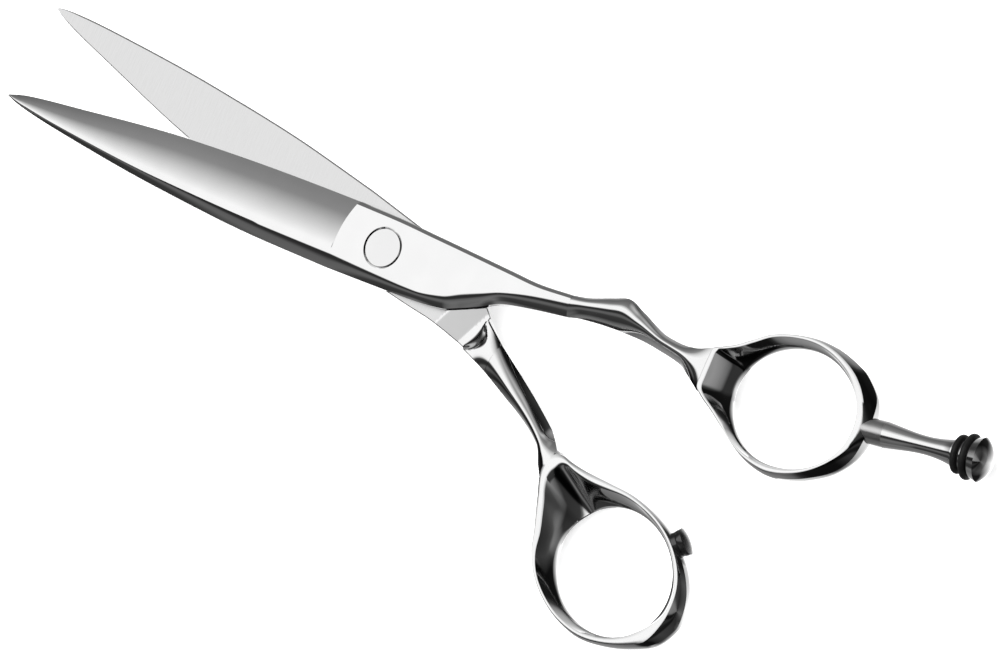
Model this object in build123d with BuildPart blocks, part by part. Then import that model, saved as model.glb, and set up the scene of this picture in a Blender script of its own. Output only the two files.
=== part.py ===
from build123d import *
import os
from math import cos, radians, sin

# Hair cutting shears of the 6.2-inch class: two convex-ground blades that turn on a ball-bearing pivot
# with a tension dial, each on its own handle, and a finger rest that screws into the finger ring.
# +Z runs along the pivot towards the flush screw head, +X runs from the pivot towards the finger ring,
# and z = 0 is the rear face of the tension dial. Lengths are in millimetres, angles in degrees.
# Each half is drawn in its own frame: x along the handle, y towards its own cutting edge, and z
# outwards from the plane in which the blades meet. Turning one half over gives the other's frame.

# Overall sizes
blade_reach = 72.6             # pivot to the tips
finger_ring_reach = 70.3       # pivot to the middle of the finger hole, along x
finger_ring_rise = 1.2         # and across
thumb_ring_reach = 59.1        # pivot to the middle of the thumb hole, along x with the blades closed
thumb_ring_rise = 18.05        # and across
rest_opening = 11.95           # how far the blades stand open as stored
blade_thickness = 2.15
blade_gap = 0.1                # between the two inner faces
edge_width = 5.15              # pivot line to the cutting edge at the end of the grind
spine_width = 5.8              # pivot line to the back of the blade there
grind_end = 8.0                # where the convex grind runs out, ahead of the pivot
edge_land = 0.12
finger_weld = 32.0             # where the blade steel is welded to the handle
thumb_weld = 24.0

# Rings
finger_hole = (10.1, 8.6)      # half length and half width
thumb_hole = (10.1, 8.8)
thumb_hole_turn = 11.95        # the thumb hole's long axis against its handle's x
thumb_wall_turn = -11.95       # where the thumb ring's walls are counted from
finger_ring_depth = (-2.4, 1.8)
thumb_ring_depth = (-1.0, 3.0)
ring_chamfer = 0.6
hole_chamfer = 0.5
# Wall thickness round each hole, every 30 degrees from the end away from the pivot
finger_walls = (2.5, 2.9, 2.2, 1.7, 1.7, 2.4, 3.2, 2.3, 1.1, 1.6, 1.5, 2.0)
thumb_walls = (2.6, 3.5, 2.2, 1.8, 1.4, 1.8, 3.1, 5.0, 4.0, 2.0, 1.2, 1.4)

# Pivot
screw_radius = 1.6
screw_flats = 2.6              # across the two flats
head_radius = 2.95
head_depth = 1.2
head_clearance = 0.15
running_fit = 0.03             # radial clearance of a turning fit
seat_fit = 0.01                # radial clearance of a piece pushed into its seat
bush_wall = 0.6
dowel_radius = 0.4
dowel_web = 0.1                # steel left between the dowel and the shank, and the dowel and the washer
washer_radius = 3.6
washer_recess = 0.35

# Bearing and tension dial, in the order in which they stack up from the rear
dial_radius = 5.0
dial_floor = 1.6
dial_skin = 0.45               # what closes the threaded hole behind the screw
dial_skirt = 0.8
dial_clearance = 0.1
dial_notches = 20
notch_radius = 0.35
key_hole_radius = 0.6
key_hole_depth = 0.9
key_hole_spacing = 5.8
click_plate_thickness = 0.35
spring_height = 0.55
spring_leaf = 0.2
spring_radius = 3.5
race_thickness = 0.5
race_radius = 3.8
ball_radius = 0.4
ball_circle = 3.05
ball_count = 10
groove_depth = 0.1
cage_thickness = 0.3
cage_wall = 0.12
bearing_recess = 0.9           # how deep the bearing sits in the thumb blade

# Closing stop on the thumb ring
stop_turn = -54.45             # direction from the middle of the thumb hole
stud_radius = 0.9
stud_depth = 0.7
pad_radius = 2.0
pad_rim = 0.35                 # how far the pad's edge drops below its crown
pad_sink = 0.3                 # how deep the pad's flat seat is cut into the ring
pad_clearance = 0.12           # left at the closed stop

# Finger rest
rest_turn = 7.0
rest_offset = 1.1              # from the middle of the finger hole, across
socket_radius = 1.85
socket_seat = 1.1              # how deep the socket is let into the ring
socket_length = 2.2            # how far it stands out
rest_length = 16.4
rest_neck = 1.9
rest_waist = 1.35
rest_flare = 2.3
rest_dome_radius = 3.2
rest_dome_height = 1.5
rest_thread_radius = 0.9
rest_thread_length = 2.8
ring_tube = 0.5
inner_ring_radius = 2.8
outer_ring_radius = 3.3
inner_ring_place = 11.55
outer_ring_place = 13.1

# Heights above the dial's rear face, each from the piece below it
plate_low = dial_floor
spring_low = plate_low + click_plate_thickness
dial_race_low = spring_low + spring_height
dial_race_high = dial_race_low + race_thickness
ball_height = dial_race_high + ball_radius - groove_depth
seat_race_low = ball_height + ball_radius - groove_depth
seat_race_high = seat_race_low + race_thickness
thumb_rear = seat_race_high - bearing_recess
thumb_inner = thumb_rear + blade_thickness
ride_height = thumb_inner + blade_gap / 2
finger_inner = ride_height + blade_gap / 2
finger_front = finger_inner + blade_thickness
head_low = finger_front - head_depth
washer_high = finger_inner + washer_recess
dowel_offset = screw_radius + dowel_radius + dowel_web
dowel_length = 2 * (head_low - washer_high - dowel_web)
dial_high = thumb_rear - dial_clearance

inner = blade_gap / 2
finger_side = Plane(origin=(0, 0, ride_height), x_dir=(1, 0, 0), z_dir=(0, 0, 1))
closed_thumb_side = Plane(origin=(0, 0, ride_height), x_dir=(1, 0, 0), z_dir=(0, 0, -1))
thumb_along = (cos(radians(rest_opening)), -sin(radians(rest_opening)), 0)
thumb_side = Plane(origin=(0, 0, ride_height), x_dir=thumb_along, z_dir=(0, 0, -1))

# Blade cross-sections from the end of the grind to the tip: share of the way, then edge, ridge and
# spine as shares of the widths, then the thickness at the ridge and at the spine as shares
grind_stations = (
    (0.00, 1.00, -0.62, -1.00, 1.00, 0.62),
    (0.19, 0.96, -0.63, -0.98, 0.98, 0.60),
    (0.50, 0.79, -0.55, -0.78, 0.86, 0.52),
    (0.80, 0.41, -0.31, -0.43, 0.58, 0.38),
    (0.96, 0.16, -0.10, -0.16, 0.33, 0.28),
    (1.00, 0.02, -0.01, -0.03, 0.20, 0.18),
)
# Heel outlines behind the grind, from the pivot towards the weld
finger_heel_edge = ((3.0, 4.96), (10.0, 4.6), (20.0, 4.1), (26.0, 3.8), (finger_weld, 4.2))
finger_heel_spine = ((0.0, -5.6), (7.5, -5.4), (12.3, -4.9), (18.2, -2.5), (24.0, -0.3), (finger_weld, 1.0))
thumb_heel_edge = ((3.0, 5.1), (10.0, 4.7), (16.0, 4.85), (20.0, 5.3), (thumb_weld, 6.0))
thumb_heel_spine = ((0.0, -5.6), (7.5, -5.4), (12.3, -4.9), (17.7, -2.0), (thumb_weld, 1.4))
# Shank cross-sections from the weld to the ring: share of the way, y from and to, z from and to
finger_shank = (
    (0.00, 1.0, 4.2, inner, inner + blade_thickness),
    (0.15, 1.7, 5.2, -0.4, 2.15),
    (0.31, 2.0, 6.7, -0.9, 2.1),
    (0.46, 1.9, 5.3, -1.2, 1.9),
    (0.62, 1.3, 3.9, -1.5, 1.8),
    (0.78, -0.3, 4.1, -1.8, 1.8),
    (1.00, -3.3, 6.4, -2.2, 1.7),
)
thumb_shank = (
    (0.00, 1.4, 6.0, inner, inner + blade_thickness),
    (0.18, 2.9, 7.0, -0.1, 2.4),
    (0.35, 4.4, 7.9, -0.4, 2.6),
    (0.53, 6.1, 9.2, -0.6, 2.7),
    (0.71, 7.9, 12.2, -0.8, 2.8),
    (1.00, 9.6, 20.0, -0.9, 2.9),
)


def across(frame, x, y=0.0, z=0.0):
    """A plane square to the handle at x, with the frame's y to the right and its z upwards."""
    return Plane(origin=frame.from_local_coords((x, y, z)), x_dir=frame.y_dir, z_dir=frame.x_dir)


def blade_blank(frame, heel_edge, heel_spine, weld):
    """The ground blade and its flat heel, without the pivot's holes."""
    with BuildPart() as blank:
        for share, edge, ridge, spine, rise, back in grind_stations:
            station = -grind_end - share * (blade_reach - grind_end)
            with BuildSketch(across(frame, station)):
                with BuildLine():
                    Polyline(
                        (edge * edge_width, inner),
                        (edge * edge_width, inner + edge_land),
                        (ridge * spine_width, inner + rise * blade_thickness),
                        (spine * spine_width, inner + back * blade_thickness),
                        (spine * spine_width, inner),
                        close=True,
                    )
                make_face()
        loft(ruled=True)
        with BuildSketch(frame.offset(inner)):
            with BuildLine():
                Spline((-grind_end, edge_width), *heel_edge)
                Line(heel_edge[-1], heel_spine[-1])
                Spline((-grind_end, -spine_width), *heel_spine)
                Line((-grind_end, -spine_width), (-grind_end, edge_width))
            make_face()
        extrude(amount=blade_thickness)
    return blank.part


def ring_outline(middle, hole, walls, turn):
    """Points round the outside of a ring, each its own wall thickness away from the hole."""
    points = []
    for place, wall in enumerate(walls):
        angle = radians(360 * place / len(walls))
        x = (hole[0] + wall) * cos(angle)
        y = (hole[1] + wall) * sin(angle)
        swing = radians(turn)
        points.append((middle[0] + x * cos(swing) - y * sin(swing), middle[1] + x * sin(swing) + y * cos(swing)))
    return points


def handle_blank(frame, weld, shank, middle, hole, walls, turn, wall_turn, depth):
    """The shank, lofted from the weld, and the ring with its hole."""
    root = middle[0] - hole[0] - 1.0
    with BuildPart() as blank:
        with BuildSketch(frame.offset(depth[0])):
            with BuildLine():
                Spline(*ring_outline(middle, hole, walls, wall_turn), periodic=True)
            make_face()
        extrude(amount=depth[1] - depth[0])
        chamfer(blank.edges().filter_by(GeomType.LINE, reverse=True), ring_chamfer)
        for share, low_y, high_y, low_z, high_z in shank:
            station = weld + share * (root - weld)
            with BuildSketch(across(frame, station, (low_y + high_y) / 2, (low_z + high_z) / 2)):
                RectangleRounded(high_y - low_y, high_z - low_z, 0.25 * (high_z - low_z))
        loft()
        with BuildSketch(frame.offset(depth[0] - hole_chamfer)):
            with Locations(middle):
                Ellipse(hole[0], hole[1], rotation=turn)
        extrude(amount=depth[1] - depth[0] + 2 * hole_chamfer, mode=Mode.SUBTRACT)
    return blank.part


# Finger blade: flush seat for the screw's head, a blind hole for its dowel, and a recess for the washer.
with BuildPart() as finger_blade:
    add(blade_blank(finger_side, finger_heel_edge, finger_heel_spine, finger_weld))
    with BuildSketch(Plane.XY.offset(head_low)):
        Circle(head_radius + head_clearance)
    extrude(amount=head_depth, mode=Mode.SUBTRACT)
    with BuildSketch(Plane.XY.offset(finger_inner)):
        Circle(screw_radius + seat_fit)
    extrude(amount=blade_thickness, mode=Mode.SUBTRACT)
    with BuildSketch(Plane.XY.offset(head_low - dowel_length / 2)):
        with Locations((0, dowel_offset)):
            Circle(dowel_radius)
    extrude(amount=dowel_length / 2, mode=Mode.SUBTRACT)
    with BuildSketch(Plane.XY.offset(finger_inner)):
        Circle(washer_radius + seat_fit)
    extrude(amount=washer_recess, mode=Mode.SUBTRACT)

# Thumb blade: the recess for the bearing from the rear, and the bore for the bush.
with BuildPart() as thumb_blade:
    add(blade_blank(thumb_side, thumb_heel_edge, thumb_heel_spine, thumb_weld))
    with BuildSketch(Plane.XY.offset(thumb_rear)):
        Circle(race_radius + seat_fit)
    extrude(amount=bearing_recess, mode=Mode.SUBTRACT)
    bush_radius = screw_radius + running_fit + bush_wall
    with BuildSketch(Plane.XY.offset(thumb_rear)):
        Circle(bush_radius + seat_fit)
    extrude(amount=blade_thickness, mode=Mode.SUBTRACT)

# Line of the finger rest, from the seat of its socket outwards.
finger_middle = (finger_ring_reach, finger_ring_rise)
rest_along = Vector(cos(radians(rest_turn)), sin(radians(rest_turn)), 0)
rest_height = (finger_ring_depth[0] + finger_ring_depth[1]) / 2 + 0.2
socket_root = (
    finger_ring_reach + finger_hole[0] + finger_walls[0] - socket_seat,
    finger_ring_rise + rest_offset,
    rest_height,
)
rest_origin = finger_side.from_local_coords(socket_root)
rest_across = Plane(origin=rest_origin, x_dir=(0, 0, 1), z_dir=rest_along)
rest_section = Plane(origin=rest_origin, x_dir=rest_along, z_dir=rest_along.cross(Vector(0, 0, 1)))
rest_axis = Axis(rest_origin, rest_along)

# Finger handle: shank with its knuckle, finger ring, and the seat of the rest's socket.
with BuildPart() as finger_handle:
    add(
        handle_blank(
            finger_side, finger_weld, finger_shank, finger_middle, finger_hole, finger_walls, 0, 0, finger_ring_depth
        )
    )
    with BuildSketch(rest_across):
        Circle(socket_radius)
    extrude(amount=2 * socket_seat, mode=Mode.SUBTRACT)

# The thumb ring's stop: a stud in a flat seat on the outside of the ring, and the pad over it.
thumb_middle = (thumb_ring_reach, thumb_ring_rise)
stop_along = (cos(radians(stop_turn)), sin(radians(stop_turn)))
stop_level = (thumb_ring_depth[0] + thumb_ring_depth[1]) / 2
with BuildLine(closed_thumb_side) as thumb_rim:
    Spline(*ring_outline(thumb_middle, thumb_hole, thumb_walls, thumb_wall_turn), periodic=True)
with BuildLine(finger_side) as finger_rim:
    Spline(*ring_outline(finger_middle, finger_hole, finger_walls, 0), periodic=True)
with BuildLine(closed_thumb_side) as stop_ray:
    Line(thumb_middle, (thumb_middle[0] + 20 * stop_along[0], thumb_middle[1] + 20 * stop_along[1]))
rim_point = stop_ray.edges()[0].intersect(thumb_rim.edges()[0])[0]
rim_distance = rim_point.distance_to(Vertex(*closed_thumb_side.from_local_coords((*thumb_middle, 0))))
pad_height = rim_point.distance_to(finger_rim.edges()[0]) + pad_sink - pad_clearance
stop_origin = thumb_side.from_local_coords(
    (
        thumb_middle[0] + (rim_distance - pad_sink) * stop_along[0],
        thumb_middle[1] + (rim_distance - pad_sink) * stop_along[1],
        stop_level,
    )
)
stop_direction = thumb_side.from_local_coords((*stop_along, 0)) - thumb_side.origin
stop_across = Plane(origin=stop_origin, x_dir=(0, 0, 1), z_dir=stop_direction)
stop_section = Plane(origin=stop_origin, x_dir=stop_direction, z_dir=stop_direction.cross(Vector(0, 0, 1)))
stop_axis = Axis(stop_origin, stop_direction)

# Thumb handle: shank, thumb ring, and the stop's seat and blind hole.
with BuildPart() as thumb_handle:
    add(
        handle_blank(
            thumb_side, thumb_weld, thumb_shank, thumb_middle, thumb_hole, thumb_walls, thumb_hole_turn,
            thumb_wall_turn,
            thumb_ring_depth,
        )
    )
    with BuildSketch(stop_across):
        Circle(pad_radius + seat_fit)
    extrude(amount=2 * pad_sink, mode=Mode.SUBTRACT)
    with BuildSketch(stop_across):
        Circle(stud_radius)
    extrude(amount=-stud_depth, mode=Mode.SUBTRACT)

with BuildPart() as stop_stud:
    with BuildSketch(stop_across.offset(-stud_depth)):
        Circle(stud_radius)
    extrude(amount=stud_depth + pad_height / 2)

# A soft cap with a crowned end, pushed over the stud.
with BuildPart() as stop_pad:
    with BuildSketch(stop_section):
        with BuildLine():
            Polyline((pad_height, 0), (0, 0), (0, pad_radius), (pad_height - pad_rim, pad_radius))
            crown = (pad_radius**2 + pad_rim**2) / (2 * pad_rim)
            RadiusArc((pad_height - pad_rim, pad_radius), (pad_height, 0), crown)
        make_face()
    revolve(axis=stop_axis)
    with BuildSketch(stop_across):
        Circle(stud_radius)
    extrude(amount=pad_height / 2, mode=Mode.SUBTRACT)

# Pivot screw: flush head with a relieved rim and a dowel hole, and a shank with two flats at its rear.
with BuildPart() as pivot_screw:
    with BuildSketch(Plane.XY.offset(dial_skin + seat_fit)):
        Circle(screw_radius)
    extrude(amount=head_low - dial_skin - seat_fit)
    with BuildSketch(Plane.XY.offset(head_low)):
        Circle(head_radius)
    extrude(amount=head_depth)
    chamfer(pivot_screw.edges().sort_by(Axis.Z)[-1], 0.12)
    with BuildSketch(Plane.XY.offset(dial_skin)):
        with Locations((0, screw_flats), (0, -screw_flats)):
            Rectangle(4 * screw_radius, screw_flats)
    extrude(amount=dial_race_low - dial_skin, mode=Mode.SUBTRACT)
    with BuildSketch(Plane.XY.offset(head_low)):
        with Locations((0, dowel_offset)):
            Circle(dowel_radius)
    extrude(amount=dowel_length / 2, mode=Mode.SUBTRACT)

with BuildPart() as screw_dowel:
    with BuildSketch(Plane.XY.offset(head_low - dowel_length / 2)):
        with Locations((0, dowel_offset)):
            Circle(dowel_radius)
    extrude(amount=dowel_length)

# Low-friction washer between the two blades, let into the finger blade.
with BuildPart() as glide_washer:
    with BuildSketch(Plane.XY.offset(thumb_inner + seat_fit)):
        Circle(washer_radius)
        Circle(screw_radius + seat_fit, mode=Mode.SUBTRACT)
    extrude(amount=blade_gap + washer_recess - seat_fit)

with BuildPart() as pivot_bush:
    with BuildSketch(Plane.XY.offset(seat_race_high)):
        Circle(bush_radius)
        Circle(screw_radius + running_fit, mode=Mode.SUBTRACT)
    extrude(amount=thumb_inner - seat_race_high)


def bearing_race(low, bore):
    """A flat thrust race with the ball groove in the face that is turned to the balls."""
    with BuildPart() as race:
        with BuildSketch(Plane.XY.offset(low)):
            Circle(race_radius)
            Circle(bore, mode=Mode.SUBTRACT)
        extrude(amount=race_thickness)
        with BuildSketch(Plane.XZ):
            with Locations((ball_circle, ball_height)):
                Circle(ball_radius + running_fit)
        revolve(axis=Axis.Z, mode=Mode.SUBTRACT)
    return race.part


with BuildPart() as seat_race:
    add(bearing_race(seat_race_low, screw_radius + 4 * running_fit))

with BuildPart() as dial_race:
    add(bearing_race(dial_race_low, screw_radius + seat_fit))

with BuildPart() as bearing_balls:
    with PolarLocations(ball_circle, ball_count):
        with Locations((0, 0, ball_height)):
            Sphere(ball_radius)

with BuildPart() as ball_cage:
    with BuildSketch(Plane.XY.offset(ball_height - cage_thickness / 2)):
        Circle(ball_circle + ball_radius + running_fit + cage_wall)
        Circle(ball_circle - ball_radius - running_fit - cage_wall, mode=Mode.SUBTRACT)
        with PolarLocations(ball_circle, ball_count):
            Circle(ball_radius + running_fit, mode=Mode.SUBTRACT)
    extrude(amount=cage_thickness)

# Disc spring: a shallow cone that bears on the race at its bore and on the click plate at its rim.
with BuildPart() as disc_spring:
    bore = screw_radius + 0.2
    land = 0.2
    with BuildSketch(Plane.XZ):
        with BuildLine():
            Polyline(
                (bore, dial_race_low - spring_leaf),
                (bore, dial_race_low),
                (bore + land, dial_race_low),
                (spring_radius, spring_low + spring_leaf),
                (spring_radius, spring_low),
                (spring_radius - land, spring_low),
                close=True,
            )
        make_face()
    revolve(axis=Axis.Z)

# Click plate: keyed to the screw's flats, with two raised detents that the dial's floor clicks over.
with BuildPart() as click_plate:
    with BuildSketch(Plane.XY.offset(plate_low)):
        Circle(spring_radius)
        with BuildSketch(mode=Mode.PRIVATE) as keyway:
            Circle(screw_radius + seat_fit)
            Rectangle(4 * screw_radius, screw_flats + 2 * seat_fit, mode=Mode.INTERSECT)
        add(keyway.sketch, mode=Mode.SUBTRACT)
    extrude(amount=click_plate_thickness)

# Tension dial: a closed cap nut whose skirt covers the stack, with two blind key holes and a notched rim.
with BuildPart() as tension_dial:
    with BuildSketch():
        Circle(dial_radius)
        with PolarLocations(dial_radius, dial_notches):
            Circle(notch_radius, mode=Mode.SUBTRACT)
    extrude(amount=dial_high)
    with BuildSketch(Plane.XY.offset(dial_floor)):
        Circle(dial_radius - dial_skirt)
    extrude(amount=dial_high - dial_floor, mode=Mode.SUBTRACT)
    with BuildSketch(Plane.XY.offset(dial_skin)):
        Circle(screw_radius + running_fit)
    extrude(amount=dial_floor - dial_skin, mode=Mode.SUBTRACT)
    with BuildSketch():
        with GridLocations(key_hole_spacing, 0, 2, 1):
            Circle(key_hole_radius)
    extrude(amount=key_hole_depth, mode=Mode.SUBTRACT)

# Socket of the finger rest, brazed into the end of the finger ring.
with BuildPart() as rest_socket:
    with BuildSketch(rest_across):
        Circle(socket_radius)
    extrude(amount=socket_seat + socket_length)
    with BuildSketch(rest_across.offset(socket_seat + socket_length)):
        Circle(rest_thread_radius + running_fit)
    extrude(amount=-rest_thread_length - running_fit, mode=Mode.SUBTRACT)

# Finger rest: threaded stub, waisted neck that flares towards the end, two grooves and a domed head.
rest_start = socket_seat + socket_length
dome_edge = rest_start + rest_length - rest_dome_height
ring_places = (
    (rest_start + inner_ring_place, inner_ring_radius - ring_tube),
    (rest_start + outer_ring_place, outer_ring_radius - ring_tube),
)
with BuildPart() as finger_rest:
    with BuildSketch(rest_section):
        with BuildLine():
            Line((rest_start, 0), (rest_start, rest_neck))
            Spline(
                (rest_start, rest_neck),
                (rest_start + 0.42 * rest_length, rest_waist),
                (rest_start + 0.72 * rest_length, rest_flare),
                tangents=((1, -0.1), (1, 0.35)),
            )
            Line((rest_start + 0.72 * rest_length, rest_flare), (dome_edge, rest_dome_radius))
            dome = (rest_dome_radius**2 + rest_dome_height**2) / (2 * rest_dome_height)
            RadiusArc((dome_edge, rest_dome_radius), (rest_start + rest_length, 0), dome)
            Line((rest_start + rest_length, 0), (rest_start, 0))
        make_face()
        with Locations(*ring_places):
            Circle(ring_tube + seat_fit, mode=Mode.SUBTRACT)
    revolve(axis=rest_axis)
    with BuildSketch(rest_across.offset(rest_start)):
        Circle(rest_thread_radius)
    extrude(amount=-rest_thread_length)


def rest_ring(place):
    """A rubber ring in its groove on the finger rest."""
    with BuildPart() as ring:
        with BuildSketch(rest_section):
            with Locations(place):
                Circle(ring_tube)
        revolve(axis=rest_axis)
    return ring.part


with BuildPart() as rest_ring_inner:
    add(rest_ring(ring_places[0]))

with BuildPart() as rest_ring_outer:
    add(rest_ring(ring_places[1]))

pieces = {
    "finger_blade": finger_blade,
    "finger_handle": finger_handle,
    "thumb_blade": thumb_blade,
    "thumb_handle": thumb_handle,
    "stop_stud": stop_stud,
    "stop_pad": stop_pad,
    "pivot_screw": pivot_screw,
    "screw_dowel": screw_dowel,
    "glide_washer": glide_washer,
    "pivot_bush": pivot_bush,
    "seat_race": seat_race,
    "dial_race": dial_race,
    "bearing_balls": bearing_balls,
    "ball_cage": ball_cage,
    "disc_spring": disc_spring,
    "click_plate": click_plate,
    "tension_dial": tension_dial,
    "rest_socket": rest_socket,
    "finger_rest": finger_rest,
    "rest_ring_inner": rest_ring_inner,
    "rest_ring_outer": rest_ring_outer,
}
os.makedirs("parts", exist_ok=True)
for label, piece in pieces.items():
    piece.part.label = label
    export_step(piece.part, f"parts/{label}.step")
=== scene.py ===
import bmesh
import bpy
from math import atan2, cos, hypot, pi, radians, sin
from mathutils import Matrix, Vector


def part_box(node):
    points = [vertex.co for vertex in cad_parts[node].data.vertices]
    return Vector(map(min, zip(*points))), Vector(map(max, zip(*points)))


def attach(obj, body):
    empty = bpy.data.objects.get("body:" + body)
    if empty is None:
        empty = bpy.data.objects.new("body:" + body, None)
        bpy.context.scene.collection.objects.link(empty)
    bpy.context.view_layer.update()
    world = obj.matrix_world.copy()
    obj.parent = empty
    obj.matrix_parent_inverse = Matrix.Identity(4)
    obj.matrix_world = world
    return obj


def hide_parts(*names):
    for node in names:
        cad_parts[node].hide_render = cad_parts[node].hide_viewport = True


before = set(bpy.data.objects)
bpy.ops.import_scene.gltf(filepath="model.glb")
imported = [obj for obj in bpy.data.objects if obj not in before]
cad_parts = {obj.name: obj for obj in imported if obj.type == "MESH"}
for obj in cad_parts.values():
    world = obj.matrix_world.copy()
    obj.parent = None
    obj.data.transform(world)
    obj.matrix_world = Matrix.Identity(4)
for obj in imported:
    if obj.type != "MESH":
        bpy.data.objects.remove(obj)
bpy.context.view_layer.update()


# ---- Finger blade
# A convex-ground blade of forged stainless steel with a flat heel. The grind is polished to a mirror,
# the inner face is finely brushed across, and the heel is bored for the flush pivot screw.
mm = 0.001
# the blades ride on each other at this height above the rear face of the tension dial, and each half is
# drawn in millimetres outwards from there
ride_height = (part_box("finger_blade")[0].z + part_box("thumb_blade")[1].z) / 2
finger_place = Matrix.Translation((0, 0, ride_height)) @ Matrix.Scale(mm, 4)


def curve_through(places, values, x):
    """The value at x on a smooth curve through the places, without overshoot at the ends."""
    if x <= places[0]:
        return values[0]
    if x >= places[-1]:
        return values[-1]
    i = max(k for k in range(len(places) - 1) if places[k] <= x)
    steps = [(values[k + 1] - values[k]) / (places[k + 1] - places[k]) for k in range(len(places) - 1)]

    def slope(k):
        if k == 0 or k == len(places) - 1:
            return steps[min(k, len(steps) - 1)]
        if steps[k - 1] * steps[k] <= 0:
            return 0.0
        return 2 * steps[k - 1] * steps[k] / (steps[k - 1] + steps[k])

    width = places[i + 1] - places[i]
    t = (x - places[i]) / width
    return (
        (2 * t**3 - 3 * t**2 + 1) * values[i]
        + (t**3 - 2 * t**2 + t) * width * slope(i)
        + (3 * t**2 - 2 * t**3) * values[i + 1]
        + (t**3 - t**2) * width * slope(i + 1)
    )


def row_at(rows, x):
    """All the values of a table of stations, read at x."""
    places = [row[0] for row in rows]
    return [curve_through(places, [row[k] for row in rows], x) for k in range(1, len(rows[0]))]


def draw_through(name, rings, place):
    """A closed body: a ring of points, extruded to each next ring in turn and capped."""
    bpy.ops.object.select_all(action="DESELECT")
    bpy.ops.mesh.primitive_circle_add(vertices=len(rings[0]), radius=1, fill_type="NGON")
    piece = bpy.context.object
    piece.name = name
    for vertex, point in zip(piece.data.vertices, rings[0]):
        vertex.co = point
    bpy.ops.object.mode_set(mode="EDIT")
    bpy.ops.mesh.select_all(action="SELECT")
    for before, after in zip(rings, rings[1:]):
        bpy.ops.mesh.extrude_region_move()
        work = bmesh.from_edit_mesh(piece.data)
        for vertex in work.verts:
            if vertex.select:
                nearest = min(range(len(before)), key=lambda k: (vertex.co - before[k]).length_squared)
                vertex.co = after[nearest]
        bmesh.update_edit_mesh(piece.data)
    bpy.ops.mesh.select_all(action="SELECT")
    bpy.ops.mesh.normals_make_consistent(inside=False)
    bpy.ops.object.mode_set(mode="OBJECT")
    piece.data.transform(place)
    return piece


def carve(piece, tool, operation="DIFFERENCE"):
    """Cuts the tool out of the piece, or joins it on, and removes the tool."""
    bpy.ops.object.select_all(action="DESELECT")
    bpy.context.view_layer.objects.active = piece
    cut = piece.modifiers.new("cut", "BOOLEAN")
    cut.object = tool
    cut.operation = operation
    cut.solver = "EXACT"
    bpy.ops.object.modifier_apply(modifier=cut.name)
    bpy.data.objects.remove(tool)


def smooth(piece, degrees):
    """Smooth faces, with sharp edges where two faces meet at more than this angle."""
    bpy.ops.object.select_all(action="DESELECT")
    piece.select_set(True)
    bpy.context.view_layer.objects.active = piece
    bpy.ops.object.shade_smooth_by_angle(angle=radians(degrees))


def bore(low, high, radius):
    """A round cutter on the pivot axis between two heights."""
    bpy.ops.object.select_all(action="DESELECT")
    bpy.ops.mesh.primitive_cylinder_add(
        vertices=96, radius=radius, depth=high - low, location=(0, 0, (low + high) / 2)
    )
    bpy.ops.object.transform_apply()
    return bpy.context.object


finger_weld = 32.0
grind_end = -8.0
tip = -1000 * abs(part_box("finger_blade")[0].x)
blade_depth = 2.2
# share of the way to the tip, then cutting edge, ridge, spine, height of the ridge and of the spine
grind_rows = (
    (0.00, 5.15, -3.60, -5.80, 2.20, 1.38),
    (0.19, 4.94, -3.65, -5.68, 2.16, 1.34),
    (0.50, 4.07, -3.19, -4.52, 1.90, 1.17),
    (0.80, 2.11, -1.80, -2.49, 1.30, 0.87),
    (0.96, 0.82, -0.58, -0.93, 0.76, 0.65),
    (1.00, 0.10, -0.06, -0.17, 0.48, 0.44),
)
# x, then upper edge, ridge, lower edge of the heel
finger_heel_rows = (
    (-8.0, 5.10, -3.60, -5.80),
    (0.0, 5.03, -3.75, -5.62),
    (7.5, 4.70, -3.85, -5.40),
    (12.3, 4.48, -2.90, -4.90),
    (15.3, 4.33, -1.40, -3.80),
    (18.2, 4.18, -0.30, -2.50),
    (21.2, 4.03, 0.75, -1.00),
    (26.0, 3.80, 2.05, 0.00),
    (32.0, 4.15, 3.10, 0.90),
)


def blade_ring(x, heel_rows, relief):
    """Points round the blade at x: over the front from the cutting edge to the spine, and back inside."""
    points = []
    roll = curve_through((grind_end, 5.0), (1.3, 1.9), x)
    if x < grind_end - 0.05:
        edge, ridge, spine, rise, back = row_at(grind_rows, (x - grind_end) / (tip - grind_end))
        points.append((edge, 0.05))
        for step in range(13):
            t = step / 12
            points.append((edge + (ridge - edge) * t, 0.17 + (rise - 0.17) * (1 - (1 - t) ** 1.75)))
    else:
        edge, ridge, spine = row_at(heel_rows, x)
        rise, back = blade_depth, curve_through((grind_end, 8.0, 20.0), (1.38, 1.30, 1.10), x)
        points.append((edge, 0.05))
        points.append((edge, 1.65))
        points.append((edge - 0.1, 1.85))
        points.append((edge - 0.6, rise))
        for step in range(10):
            t = (step + 1) / 10
            points.append((edge - 0.6 + (ridge - edge + 0.6) * t, rise))
    for step in range(1, 10):
        t = step / 9
        points.append((ridge + (spine - ridge) * t, rise - (rise - back) * t**roll))
    bevel = min(0.22, 0.1 * (edge - spine))
    points.append((spine, relief(x, spine) + 0.5 * bevel))
    for step in range(31):
        y = spine + bevel + (edge - spine - 1.6 * bevel) * step / 30
        points.append((y, relief(x, y)))
    points[0] = (edge, relief(x, edge) + 0.3 * bevel)
    fade = max(0.0, 1 - abs(x - grind_end) / 4)
    lean = [0.035 * max(0.0, y + 1) ** 2 * fade for y, z in points]
    return [Vector((x + shift, y, z)) for (y, z), shift in zip(points, lean)]


def flat_inside(x, y):
    """An inner face that stays in the riding plane."""
    return 0.05


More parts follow.
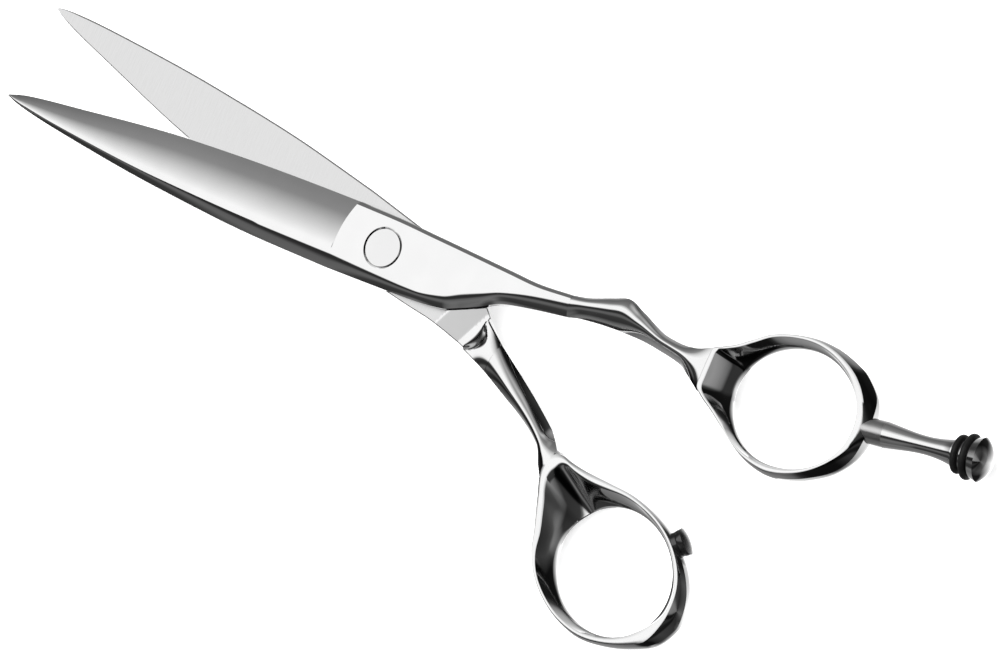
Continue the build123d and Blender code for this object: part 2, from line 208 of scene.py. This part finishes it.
def blade(name, heel_rows, weld, place, relief=flat_inside):
    """One blade from its tip to the weld."""
    stations = [tip + (grind_end - tip) * k / 44 for k in range(44)]
    stations += [grind_end - 0.1, grind_end]
    stations += [grind_end + (weld - grind_end) * k / 160 for k in range(1, 161)]
    return draw_through(name, [blade_ring(x, heel_rows, relief) for x in stations], place)


finger_blade = blade("finger_blade_steel", finger_heel_rows, finger_weld, finger_place)
screw_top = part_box("pivot_screw")[1].z
washer_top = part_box("glide_washer")[1].z
head_thickness = 1.2 * mm
head_seat_radius = 3.16 * mm
shank_bore_radius = 1.61 * mm
washer_recess_radius = 3.61 * mm
carve(finger_blade, bore(screw_top - head_thickness, screw_top + mm, head_seat_radius))
carve(finger_blade, bore(ride_height - mm, screw_top, shank_bore_radius))
carve(finger_blade, bore(ride_height - mm, washer_top, washer_recess_radius))
smooth(finger_blade, 14)
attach(finger_blade, "finger_half")
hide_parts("finger_blade")


class Value:
    """A socket of a shader tree, with the arithmetic that the finishes need."""

    def __init__(self, tree, socket):
        self.tree = tree
        self.socket = socket

    def math(self, operation, other=None):
        """One arithmetic step."""
        values = {0: self} if other is None else {0: self, 1: other}
        return self.tree.node("ShaderNodeMath", {"operation": operation}, values)

    def __add__(self, other):
        return self.math("ADD", other)

    __radd__ = __add__

    def __mul__(self, other):
        return self.math("MULTIPLY", other)

    __rmul__ = __mul__

    def __sub__(self, other):
        return self.math("SUBTRACT", other)

    def __rsub__(self, other):
        return self.tree.node("ShaderNodeMath", {"operation": "SUBTRACT"}, {0: other, 1: self})


class Finish:
    """A procedural surface finish: one Principled shader and the nodes that vary it."""

    def __init__(self, name, **constants):
        self.material = bpy.data.materials.new(name)
        self.material.use_nodes = True
        self.nodes = self.material.node_tree.nodes
        self.links = self.material.node_tree.links
        self.shader = self.nodes["Principled BSDF"]
        for socket, value in constants.items():
            self.shader.inputs[socket.replace("_", " ")].default_value = value

    def node(self, kind, settings, values, output=0):
        """Any node: its settings first, then the values or links of its sockets."""
        made = self.nodes.new(kind)
        for key, setting in settings.items():
            if key == "stops":
                ramp = made.color_ramp
                while len(ramp.elements) < len(setting):
                    ramp.elements.new(0.5)
                for element, (place, shade) in zip(ramp.elements, setting):
                    element.position = place
                    element.color = (*shade, 1) if isinstance(shade, tuple) else (shade, shade, shade, 1)
            else:
                setattr(made, key, setting)
        for socket, value in values.items():
            if isinstance(value, Value):
                self.links.new(value.socket, made.inputs[socket])
            else:
                made.inputs[socket].default_value = value
        return Value(self, made.outputs[output])

    def place(self, scale=(1, 1, 1), turn=0.0):
        """The piece's own coordinates, stretched and turned."""
        where = self.node("ShaderNodeTexCoord", {}, {}, "Object")
        return self.node("ShaderNodeMapping", {}, {"Vector": where, "Scale": scale, "Rotation": (0, 0, turn)})

    def noise(self, where, size, detail=4.0):
        """A fine random pattern from 0 to 1."""
        return self.node("ShaderNodeTexNoise", {}, {"Vector": where, "Scale": size, "Detail": detail}, "Fac")

    def feed(self, **links):
        """Links values to the shader's sockets and gives the finished material."""
        for socket, value in links.items():
            self.links.new(value.socket, self.shader.inputs[socket.replace("_", " ")])
        return self.material


def polished_steel(name, shade, rough):
    """Mirror-polished stainless steel with the faint cloudiness and hairlines of a buffed surface."""
    finish = Finish(name, Metallic=1.0)
    cloud = finish.noise(finish.place(), 220.0, 2.0)
    hairline = finish.noise(finish.place((1, 9, 9), 0.3), 1500.0, 3.0)
    stops = ((0.3, shade - 0.015), (0.7, shade + 0.015))
    colour = finish.node("ShaderNodeValToRGB", {"stops": stops}, {"Fac": cloud})
    bump = finish.node("ShaderNodeBump", {}, {"Strength": 0.006, "Distance": 0.0001, "Height": hairline}, "Normal")
    return finish.feed(Base_Color=colour, Roughness=rough + 0.03 * cloud, Normal=bump)


def brushed_steel(name, shade, turn):
    """Steel lapped across its length: close, straight grinding lines."""
    finish = Finish(name, Metallic=1.0)
    lines = finish.noise(finish.place((24, 1, 1), turn), 420.0, 5.0)
    colour = finish.node("ShaderNodeValToRGB", {"stops": ((0.3, shade - 0.05), (0.7, shade + 0.03))}, {"Fac": lines})
    bump = finish.node("ShaderNodeBump", {}, {"Strength": 0.08, "Distance": 0.00005, "Height": lines}, "Normal")
    return finish.feed(Base_Color=colour, Roughness=0.24 + 0.12 * lines, Normal=bump)


def two_finishes(piece, outside, inside, chosen):
    """The first finish all over, and the second on the faces that the test chooses."""
    piece.data.materials.clear()
    piece.data.materials.append(outside)
    piece.data.materials.append(inside)
    for face in piece.data.polygons:
        face.material_index = 1 if chosen(face) else 0


mirror_steel = polished_steel("mirror_steel", 0.80, 0.05)
two_finishes(
    finger_blade,
    mirror_steel,
    brushed_steel("finger_blade_inside", 0.70, 0.05),
    lambda face: face.normal.z < -0.95,
)


# ---- Thumb blade
# The second blade, ground like the first on its rear side. Its inner face shows where the blades stand
# open: lapped steel with close straight lines, and a bore for the bearing bush.
opening = radians(11.95)
# drawn like the finger half, then turned over and swung open
thumb_place = (
    Matrix.Rotation(-opening, 4, "Z")
    @ Matrix.Translation((0, 0, ride_height))
    @ Matrix.Rotation(pi, 4, "X")
    @ Matrix.Scale(mm, 4)
)
thumb_weld = 24.0
thumb_heel_rows = (
    (-8.0, 5.10, -3.60, -5.80),
    (0.0, 5.10, -3.75, -5.62),
    (7.5, 4.85, -3.85, -5.40),
    (12.3, 4.60, -2.90, -4.90),
    (16.9, 4.90, -1.10, -2.60),
    (20.0, 5.25, 0.90, -0.60),
    (24.0, 6.00, 2.60, 1.40),
)


def cove(x, y):
    """Behind the riding face the heel falls away in a ramp, and a cove climbs from it to the shank."""
    ramp = min(max((x - 13.0 - 0.28 * (4.5 - y)) / 4.5, 0.0), 1.0)
    low = 0.05 + 1.3 * ramp
    start = 18.3 + 0.22 * (4.6 - y)
    rim = start + max(0.9, 3.6 - 0.42 * (y - 2.8) ** 2)
    climb = min(max((x - start) / (rim - start), 0.0), 1.0)
    edge, _, spine = row_at(thumb_heel_rows, x)
    off_centre = 2 * abs(y - (edge + spine) / 2) / (edge - spine)
    rounding = 0.7 * off_centre**2.1 * min(max((x - 20.5) / 3.5, 0.0), 1.0)
    return max(low + (-0.02 - low) * climb**2 * (3 - 2 * climb), rounding - 0.02)


thumb_blade = blade("thumb_blade_steel", thumb_heel_rows, thumb_weld, thumb_place, cove)
race_low, race_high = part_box("seat_race")
race_recess_radius = 3.81 * mm
bush_bore_radius = 2.24 * mm
carve(thumb_blade, bore(race_low.z - 3 * mm, race_high.z, race_recess_radius))
carve(thumb_blade, bore(race_low.z - 3 * mm, ride_height + mm, bush_bore_radius))
smooth(thumb_blade, 14)
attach(thumb_blade, "thumb_half")
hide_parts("thumb_blade")
two_finishes(
    thumb_blade,
    mirror_steel,
    brushed_steel("thumb_blade_inside", 0.76, 0.26),
    lambda face: face.normal.z > 0.9995 and face.center.x < 16 * mm,
)


# ---- Finger handle
# A forged shank with a knuckle for the index finger, welded to the blade, that opens into the finger
# ring. Hand-ground facets meet in crisp lines, and a hollow lies where the shank divides.

def shank_ring(row, x, weld, count=9):
    """Points round a shank at x: a crest along the top with the sides falling away to both edges, from
    the square section of the heel at the weld to a rounded one."""
    low, high, under, top, crest, fall_low, fall_high = row
    soft = min(max((x - weld) / 7, 0.0), 1.0)
    width, depth = high - low, top - under
    ridge = low + crest * width
    points = []
    for step in range(count):
        t = 1 - step / count
        points.append((ridge + (high - ridge) * t, top - fall_high * t ** (2.6 - 0.4 * soft)))
    for step in range(count + 1):
        t = step / count
        points.append((ridge + (low - ridge) * t, top - fall_low * t**1.9))
    corner = soft * width
    points += [(low + 0.03 * corner, under + 0.28 * depth), (low + 0.16 * corner, under + 0.06 * soft * depth)]
    points += [(low + 0.3 * width, under), (low + 0.7 * width, under)]
    points += [(high - 0.16 * corner, under + 0.06 * soft * depth), (high - 0.03 * corner, under + 0.28 * depth)]
    return [Vector((x, y, z)) for y, z in points]


def wall_at(walls, angle):
    """The wall of a ring at an angle, on a smooth closed curve through walls set evenly round it."""
    count = len(walls)
    place = (angle % (2 * pi)) / (2 * pi) * count
    i = int(place)
    t = place - i
    a, b, c, d = (walls[(i + k) % count] for k in (-1, 0, 1, 2))
    return 0.5 * (2 * b + (c - a) * t + (2 * a - 5 * b + 4 * c - d) * t**2 + (3 * b - a - 3 * c + d) * t**3)


def closed_curve(outline, place):
    """A point on the smooth closed curve through the outline's points."""
    count = len(outline)
    i = int(place)
    t = place - i
    a, b, c, d = (Vector(outline[(i + k) % count]) for k in (-1, 0, 1, 2))
    return 0.5 * (2 * b + (c - a) * t + (2 * a - 5 * b + 4 * c - d) * t**2 + (3 * b - a - 3 * c + d) * t**3)


def finger_loop(name, middle, hole, turn, outline, depth, crest_places, crest_widths, place, boss=0.0):
    """A ring round an oval hole: a crest that wanders between the hole's rim and the outside, a hollow
    flank towards the hole, and a steep flank outside."""
    under, top = depth
    tall = top - under
    rings = []
    for step in range(5 * len(outline)):
        outside = closed_curve(outline, step / 5)
        angle = atan2(outside.y - middle[1], outside.x - middle[0]) - turn
        reach = 1 / hypot(cos(angle) / hole[0], sin(angle) / hole[1])
        inside = Vector((middle[0] + reach * cos(angle + turn), middle[1] + reach * sin(angle + turn)))
        wall = (outside - inside).length
        away = (outside - inside) / wall
        share = min(max(wall_at(crest_places, angle + turn), 0.0), 1.0)
        width = max(0.12, min(wall_at(crest_widths, angle + turn), wall - 0.8))
        rim = top - 0.3 - (1.7 + 0.22 * max(wall - 2, 0)) * share
        low = rim - under
        start = 0.3 + max(wall - width - 0.45, 0.05) * share
        shape = []
        for t in (1.0, 0.9, 0.78, 0.6, 0.4, 0.2, 0.0):
            shape.append((0.3 + (start - 0.3) * t, rim + (top - 0.08 * width - rim) * t**1.3))
        shape += [(0.08, rim - 0.1 * low), (0.0, rim - 0.25 * low), (0.0, rim - 0.75 * low)]
        shape += [(0.12, rim - 0.92 * low), (0.4, under), (wall - 0.75, under), (wall - 0.25, under + 0.08 * tall)]
        shape += [(wall - 0.04, under + 0.25 * tall), (wall, under + 0.45 * tall)]
        end = start + width
        fall = min(0.35 + 1.2 * (wall - end), 0.5 * tall)
        fall *= 1 - boss * max(0.0, cos(angle - radians(5))) ** 24
        for t in (1.0, 0.8, 0.55, 0.3):
            shape.append((end + (wall - 0.02 - end) * t, top - fall * t**1.25 - 0.08 * width))
        for t in (1.0, 0.75, 0.5, 0.25):
            shape.append((start + width * t, top - 0.08 * width * (2 * t - 1) ** 2))
        rings.append([Vector((*(inside + out * away), z)) for out, z in shape])
    loop = draw_through(name, rings + rings[:1], Matrix.Identity(4))
    bpy.ops.object.select_all(action="DESELECT")
    bpy.context.view_layer.objects.active = loop
    bpy.ops.object.mode_set(mode="EDIT")
    bpy.ops.mesh.select_all(action="DESELECT")
    work = bmesh.from_edit_mesh(loop.data)
    for face in work.faces:
        face.select = len(face.verts) > 4
    bmesh.update_edit_mesh(loop.data)
    bpy.ops.mesh.delete(type="ONLY_FACE")
    bpy.ops.mesh.select_all(action="SELECT")
    bpy.ops.mesh.remove_doubles(threshold=1e-5)
    bpy.ops.mesh.normals_make_consistent(inside=False)
    bpy.ops.object.mode_set(mode="OBJECT")
    loop.data.transform(place)
    return loop


# x, then lower and upper edge, under and top side, crest as a share of the width, and how far the
# section falls from the crest to its lower and its upper edge
finger_shank_rows = (
    (32.0, 0.90, 4.15, 0.05, 2.20, 0.68, 1.10, 0.55),
    (34.0, 1.40, 4.55, -0.15, 2.20, 0.66, 1.40, 0.70),
    (38.0, 1.85, 6.00, -0.60, 2.12, 0.62, 1.80, 0.90),
    (40.3, 1.95, 6.72, -0.90, 2.10, 0.62, 2.00, 1.00),
    (43.2, 1.95, 5.70, -1.10, 1.98, 0.60, 2.00, 1.10),
    (48.4, 1.40, 3.80, -1.45, 1.85, 0.58, 1.90, 1.10),
    (51.0, 0.90, 3.60, -1.65, 1.80, 0.56, 1.90, 1.00),
    (53.2, -0.10, 3.80, -1.80, 1.82, 0.54, 1.10, 0.50),
    (56.05, -1.75, 4.95, -2.00, 1.70, 0.52, 0.30, 0.15),
)
finger_middle = (70.3, 1.2)
finger_hole = (10.1, 8.6)
# the outside of the ring, from its far end round by the upper side and the fork
finger_outline = (
    (82.92, 1.39), (82.8, 3.82), (81.62, 6.86), (79.25, 9.16), (77.27, 10.23), (74.01, 11.23), (70.3, 11.5),
    (66.58, 10.89), (63.4, 9.7), (61.0, 8.0), (58.8, 6.4), (57.0, 5.45), (55.8, 4.8), (55.6, 3.2), (55.6, 0.4),
    (55.8, -1.2), (57.0, -2.3), (59.4, -3.7), (62.2, -5.5), (65.4, -7.51), (68.2, -8.6), (71.19, -9.0),
    (74.15, -8.37), (76.99, -7.09), (79.89, -5.06), (82.01, -2.12),
)
# every 30 degrees from the far end: where the crest lies across the wall, and how wide it is
finger_crest_places = (0.12, 0.12, 0.35, 0.80, 0.95, 1.0, 1.0, 1.0, 0.75, 0.25, 0.12, 0.10)
finger_crest_widths = (1.1, 1.0, 0.7, 0.5, 0.4, 0.5, 0.8, 0.5, 0.5, 0.8, 0.5, 0.4)


def handle(name, rows, stations, loop, place):
    """The shank drawn through its stations and joined to its ring."""
    shank = draw_through(name, [shank_ring(row_at(rows, x), x, stations[0]) for x in stations], place)
    carve(shank, loop, "UNION")
    return shank


finger_ring = finger_loop(
    "finger_ring_steel", finger_middle, finger_hole, 0.0, finger_outline, (-2.4, 1.8),
    finger_crest_places, finger_crest_widths, finger_place, 0.75,
)
finger_stations = [finger_weld + 24.05 * k / 60 for k in range(61)]
finger_handle = handle("finger_handle_steel", finger_shank_rows, finger_stations, finger_ring, finger_place)
smooth(finger_handle, 22)
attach(finger_handle, "finger_half")
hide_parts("finger_handle")
finger_handle.data.materials.clear()
finger_handle.data.materials.append(mirror_steel)


# ---- Thumb handle
# The thumb's shank leaves its blade at an angle, narrows and turns down into the thumb ring, with a
# deep hollow at the fork. It is forged and polished like the finger handle.
thumb_up = Matrix.Rotation(-opening, 4, "Z") @ Matrix.Translation((0, 0, ride_height)) @ Matrix.Scale(mm, 4)
thumb_shank_rows = (
    (24.0, -6.00, -1.40, -2.25, 0.00, 0.50, 0.70, 0.70),
    (28.9, -7.20, -3.30, -2.40, 0.20, 0.42, 1.10, 1.60),
    (33.3, -8.25, -5.00, -2.60, 0.40, 0.38, 1.20, 2.00),
    (37.8, -10.1, -6.90, -2.70, 0.60, 0.38, 1.30, 2.20),
    (40.0, -12.0, -7.80, -2.80, 0.88, 0.46, 0.90, 1.20),
    (41.75, -13.3, -8.75, -2.85, 0.92, 0.52, 0.25, 0.25),
)
thumb_middle = (59.1, -18.05)
thumb_hole = (10.1, 8.8)
thumb_outline = (
    (72.34, -19.64), (72.12, -17.19), (71.06, -14.52), (69.13, -12.13), (66.43, -10.07), (63.23, -8.54),
    (59.61, -7.69), (55.56, -7.48), (51.6, -8.0), (47.6, -8.6), (44.8, -8.8), (43.0, -8.75), (41.8, -9.3),
    (41.2, -10.6), (41.3, -12.2), (41.9, -13.6), (43.0, -15.3), (44.3, -17.4), (45.8, -19.8), (47.4, -22.66),
    (49.85, -25.17), (53.19, -27.13), (56.92, -28.27), (61.07, -28.45), (64.85, -27.28), (68.22, -25.41),
    (71.15, -22.9),
)
thumb_crest_places = (0.45, 0.60, 0.75, 0.90, 1.0, 1.0, 1.0, 0.95, 0.90, 0.80, 0.60, 0.30)
thumb_crest_widths = (0.5, 0.4, 0.35, 0.4, 0.8, 2.0, 1.3, 0.5, 0.4, 0.5, 0.9, 1.9)
thumb_ring = finger_loop(
    "thumb_ring_steel", thumb_middle, thumb_hole, -opening, thumb_outline, (-3.0, 1.0),
    thumb_crest_places, thumb_crest_widths, thumb_up,
)
thumb_stations = [thumb_weld + 17.75 * k / 48 for k in range(49)]
thumb_handle = handle("thumb_handle_steel", thumb_shank_rows, thumb_stations, thumb_ring, thumb_up)
smooth(thumb_handle, 22)
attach(thumb_handle, "thumb_half")
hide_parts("thumb_handle")
thumb_handle.data.materials.clear()
thumb_handle.data.materials.append(mirror_steel)


# ---- Pieces that keep their turned or stamped shape
# Screw, dial, socket, rubber rings, and the bearing hidden between the blades: turned, stamped or moulded
# to size, so each is the made shape with its own finish.

def keep_shape(node, finish, body, degrees=30):
    """The made shape, merged and smoothed, with its finish."""
    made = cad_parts[node]
    piece = made.copy()
    piece.data = made.data.copy()
    piece.name = node + "_finished"
    piece.parent = None
    piece.matrix_world = Matrix.Identity(4)
    bpy.context.scene.collection.objects.link(piece)
    bpy.ops.object.select_all(action="DESELECT")
    piece.select_set(True)
    bpy.context.view_layer.objects.active = piece
    bpy.ops.object.mode_set(mode="EDIT")
    bpy.ops.mesh.select_all(action="SELECT")
    bpy.ops.mesh.remove_doubles(threshold=1e-6)
    bpy.ops.object.mode_set(mode="OBJECT")
    if piece.data.has_custom_normals:
        bpy.ops.mesh.customdata_custom_splitnormals_clear()
    smooth(piece, degrees)
    piece.data.materials.clear()
    piece.data.materials.append(finish)
    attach(piece, body)
    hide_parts(node)
    return piece


def plain(name, dark, light, rough, metallic, size=900.0):
    """Moulded or drawn material: slight mottling in colour and gloss."""
    finish = Finish(name, Metallic=metallic)
    grain = finish.noise(finish.place(), size, 5.0)
    colour = finish.node("ShaderNodeValToRGB", {"stops": ((0.3, dark), (0.7, light))}, {"Fac": grain})
    bump = finish.node("ShaderNodeBump", {}, {"Strength": 0.03, "Distance": 0.0001, "Height": grain}, "Normal")
    return finish.feed(Base_Color=colour, Roughness=rough + 0.08 * grain, Normal=bump)


keep_shape("pivot_screw", polished_steel("screw_steel", 0.76, 0.12), "finger_half")
satin_steel = plain("satin_steel", (0.62,) * 3, (0.70,) * 3, 0.26, 1.0)
keep_shape("rest_socket", satin_steel, "finger_half")
rubber = plain("ring_rubber", (0.004,) * 3, (0.009,) * 3, 0.5, 0.0)
keep_shape("rest_ring_inner", rubber, "finger_rest")
keep_shape("rest_ring_outer", rubber, "finger_rest")
keep_shape("tension_dial", polished_steel("dial_steel", 0.72, 0.10), "tension_dial")
# name, dark and light colour, roughness, metallic, then the hidden pieces made of it
inner_finishes = (
    ("bearing_steel", (0.62,) * 3, (0.7,) * 3, 0.16, 1.0,
     ("screw_dowel", "dial_race", "seat_race", "bearing_balls", "stop_stud")),
    ("spring_steel", (0.40,) * 3, (0.48,) * 3, 0.3, 1.0, ("disc_spring", "click_plate")),
    ("bush_bronze", (0.48, 0.30, 0.13), (0.58, 0.38, 0.18), 0.34, 1.0, ("pivot_bush",)),
    ("slip_plastic", (0.70, 0.69, 0.66), (0.78, 0.77, 0.74), 0.42, 0.0, ("glide_washer", "ball_cage")),
)
for name, dark, light, rough, metallic, nodes in inner_finishes:
    finish = plain(name, dark, light, rough, metallic)
    for node in nodes:
        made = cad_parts[node]
        made.data.materials.clear()
        made.data.materials.append(finish)


# ---- Finger rest
# A waisted tang, turned in one piece from stainless bar and polished, that screws into the socket on the
# finger ring. Two grooves hold rubber rings, and the end is a shallow dome.

def turned(name, outline, origin, heading, around=72):
    """A turned piece: its outline, as distances along and out from the axis, spun round the axis."""
    bpy.ops.object.select_all(action="DESELECT")
    bpy.ops.mesh.primitive_circle_add(vertices=len(outline), radius=1, fill_type="NOTHING")
    piece = bpy.context.object
    piece.name = name
    across = Vector((0, 0, 1)).cross(heading)
    for vertex, (along, out) in zip(piece.data.vertices, outline):
        vertex.co = origin + (heading * along + across * out) * mm
    bpy.ops.object.mode_set(mode="EDIT")
    bpy.ops.mesh.select_all(action="SELECT")
    bpy.ops.mesh.spin(steps=around, angle=2 * pi, center=origin, axis=heading)
    bpy.ops.mesh.select_all(action="SELECT")
    bpy.ops.mesh.remove_doubles(threshold=2e-6)
    bpy.ops.mesh.dissolve_degenerate(threshold=1e-6)
    bpy.ops.mesh.delete_loose()
    bpy.ops.mesh.select_all(action="SELECT")
    bpy.ops.mesh.normals_make_consistent(inside=False)
    bpy.ops.object.mode_set(mode="OBJECT")
    return piece


rest_heading = Vector((cos(radians(7)), sin(radians(7)), 0))
rest_low, rest_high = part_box("finger_rest")
rest_origin = Vector((81.8 * mm, 2.3 * mm, (rest_low.z + rest_high.z) / 2))
rest_start = 3.3
rest_end = 19.7
thread_radius = 0.9
thread_start = 0.5
flare_place = 15.108
flare_radius = 2.3
flare_slope = 0.9 / 3.092
dome_width = 3.2
dome_height = 1.5
groove_radius = 0.51
# distance along the rest, and radius, at stations down the waisted neck
neck_places = (3.3, 4.5, 5.8, 7.2, 8.6, 9.6, 10.188, 10.9, 11.8, 12.7, 13.6, 14.3, flare_place)
neck_radii = (1.9, 1.769, 1.613, 1.459, 1.355, 1.335, 1.35, 1.397, 1.5, 1.651, 1.851, 2.04, flare_radius)


def rest_radius(along):
    """The rest's outside: the waisted neck, then straight out to the edge of the dome."""
    if along < flare_place:
        return curve_through(neck_places, neck_radii, along)
    return flare_radius + (along - flare_place) * flare_slope


def rest_groove(middle, out):
    """A round-bottomed groove for a rubber ring, where it lies below the outside."""
    turns = [radians(degrees) for degrees in range(180, 361, 12)]
    arc = [(middle + groove_radius * cos(turn), out + groove_radius * sin(turn)) for turn in turns]
    return [place for place in arc if place[1] < rest_radius(place[0]) - 0.01]


def rest_stretch(*places):
    """Points on the rest's outside."""
    return [(along, rest_radius(along)) for along in places]


rest_outline = [(thread_start, 0.0), (thread_start, thread_radius), (rest_start, thread_radius)]
rest_outline += rest_stretch(*[rest_start + 11.0 * step / 30 for step in range(31)])
rest_outline += [*rest_groove(14.85, 2.3), *rest_stretch(15.38, 15.6, 15.88)]
rest_outline += [*rest_groove(16.4, 2.8), *rest_stretch(16.93, 17.5)]
dome_radius = (dome_width**2 + dome_height**2) / (2 * dome_height)
for step in range(17):
    out = dome_width * cos(pi / 2 * step / 16)
    rest_outline.append((rest_end - dome_radius + (dome_radius**2 - out**2) ** 0.5, out))
finger_rest = turned("finger_rest_steel", rest_outline, rest_origin, rest_heading)
smooth(finger_rest, 32)
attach(finger_rest, "finger_rest")
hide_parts("finger_rest")
finger_rest.data.materials.append(mirror_steel)


# ---- Stop cap
# A hard plastic cap on a steel stud at the thumb ring. It meets the finger ring when the blades close:
# a collar against the ring, a fine groove, and a crowned end.
stop_heading = Vector((0.7373, 0.6756, 0))
stop_low, stop_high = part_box("stop_pad")
stop_middle = (stop_low + stop_high) / 2
cap_side = 1.6525 / 2
cap_radius = 2.0
collar_radius = 1.90
crown_height = 0.35
cap_outline = [(-cap_side, 0.0), (-cap_side, collar_radius), (-0.12, collar_radius), (-0.06, 1.82)]
cap_outline += [(0.0, collar_radius), (0.05, 1.98), (0.1, cap_radius), (cap_side, cap_radius)]
crown_radius = (cap_radius**2 + crown_height**2) / (2 * crown_height)
for step in range(1, 13):
    out = cap_radius * cos(pi / 2 * step / 12)
    cap_outline.append((cap_side + crown_height - crown_radius + (crown_radius**2 - out**2) ** 0.5, out))
stop_cap = turned("stop_cap", cap_outline, stop_middle, stop_heading, 56)
smooth(stop_cap, 35)
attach(stop_cap, "thumb_half")
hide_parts("stop_pad")
cap = Finish("stop_plastic", Coat_Weight=1.0, Coat_Roughness=0.04)
grain = cap.noise(cap.place(), 700.0)
tint = cap.node("ShaderNodeValToRGB", {"stops": ((0.3, 0.006), (0.7, 0.018))}, {"Fac": grain})
stop_cap.data.materials.append(cap.feed(Base_Color=tint, Roughness=0.12 + 0.1 * grain))


# ---- Floor, light and camera
# A plain pale table just under the dial, a bright studio overhead that darkens towards the horizon, and a
# long lens.
table_height = -0.25 * mm
bpy.ops.object.select_all(action="DESELECT")
bpy.ops.mesh.primitive_plane_add(size=8, location=(0, 0, table_height))
table = bpy.context.object
table.name = "table"
paper = Finish("table_paper", Roughness=0.9, Emission_Color=(1, 1, 1, 1), Emission_Strength=0.55)
mottle = paper.noise(paper.place(), 3.0)
tone = paper.node("ShaderNodeValToRGB", {"stops": ((0.3, 0.93), (0.7, 0.95))}, {"Fac": mottle})
table.data.materials.append(paper.feed(Base_Color=tone))
table.visible_glossy = False

world = bpy.data.worlds.new("studio")
bpy.context.scene.world = world
world.use_nodes = True


class Sky(Finish):
    """The studio around the object, as nodes of the world."""

    def __init__(self):
        self.nodes = world.node_tree.nodes
        self.links = world.node_tree.links


sky = Sky()
heading = sky.node("ShaderNodeTexCoord", {}, {}, "Generated")
lengthwise, side, rise = (sky.node("ShaderNodeSeparateXYZ", {}, {"Vector": heading}, axis) for axis in "XYZ")
tilt = side.math("ARCTAN2", rise)
share = tilt * (0.5 / pi) + 0.5


def at(degrees):
    """A place on the studio's ramp, from the tilt towards the cutting edge's side."""
    return degrees / 360 + 0.5


studio = sky.node(
    "ShaderNodeValToRGB",
    {"stops": (
        (at(-176), 0.75), (at(-150), 0.30), (at(-105), 0.14), (at(-88), 0.17), (at(-76), 0.03),
        (at(-60), 0.04), (at(-50), 0.12), (at(-42), 0.11), (at(-36), 0.03), (at(-28), 0.02), (at(-21), 0.05),
        (at(-15), 0.90), (at(-10), 1.0), (at(12), 1.0), (at(26), 0.62), (at(38), 0.26), (at(55), 0.18),
        (at(90), 0.12), (at(176), 0.75),
    )},
    {"Fac": share},
)
along = lengthwise * 0.5 + 0.5
ends = sky.node(
    "ShaderNodeValToRGB",
    {"stops": (
        (0.00, 0.10), (0.07, 0.05), (0.13, 1.0), (0.43, 1.0), (0.50, 0.70), (0.55, 0.15), (0.60, 0.04), (0.80, 0.03),
        (0.92, 0.30), (1.00, 0.16),
    )},
    {"Fac": along},
)
# a bright card below, and two soft banks overhead on either side
card_depth = ((rise * -1 - 0.45) * 2.4).math("MAXIMUM", 0.0)
card_width = (1 - (side - 0.12).math("ABSOLUTE") * 1.7).math("MAXIMUM", 0.0)
aside = (1 - (along - 0.48).math("ABSOLUTE") * 10.0).math("MAXIMUM", 0.0)
near_bank = (tilt * 1.6 - 0.7).math("MAXIMUM", 0.0).math("MINIMUM", 1.0)
far_bank = (tilt * -1.2 - 0.9).math("MAXIMUM", 0.0).math("MINIMUM", 0.3)
above = (rise * 3.0).math("MAXIMUM", 0.0).math("MINIMUM", 1.0)
glow = studio * ends + card_depth * card_width + aside * (near_bank + far_bank) * above * 0.4
sky.links.new(glow.socket, sky.nodes["Background"].inputs["Color"])
sky.nodes["Background"].inputs["Strength"].default_value = 1.16

for name, place, size, power in (
    ("overhead", (0.0, 0.0, 1.4), 1.6, 30.0),
    ("window", (-0.7, 0.9, 1.0), 0.9, 7.0),
):
    light = bpy.data.lights.new(name, "AREA")
    light.size = size
    light.energy = power
    lamp = bpy.data.objects.new(name, light)
    lamp.location = place
    lamp.rotation_euler = (-Vector(place)).to_track_quat("-Z", "Y").to_euler()
    lamp.visible_glossy = False
    bpy.context.scene.collection.objects.link(lamp)

lens = bpy.data.cameras.new("camera")
lens.sensor_width = 36
lens.lens = 197.1
camera = bpy.data.objects.new("camera", lens)
bpy.context.scene.collection.objects.link(camera)
right = Vector((0.80839, 0.40115, -0.43079))
up = Vector((-0.33571, 0.91534, 0.22239))
back = right.cross(up)
turn = Matrix((right, up, back)).transposed().to_4x4()
camera.matrix_world = Matrix.Translation((0.404658, -0.032052, 0.697280)) @ turn
bpy.context.scene.camera = camera
bpy.context.scene.view_settings.view_transform = "Standard"
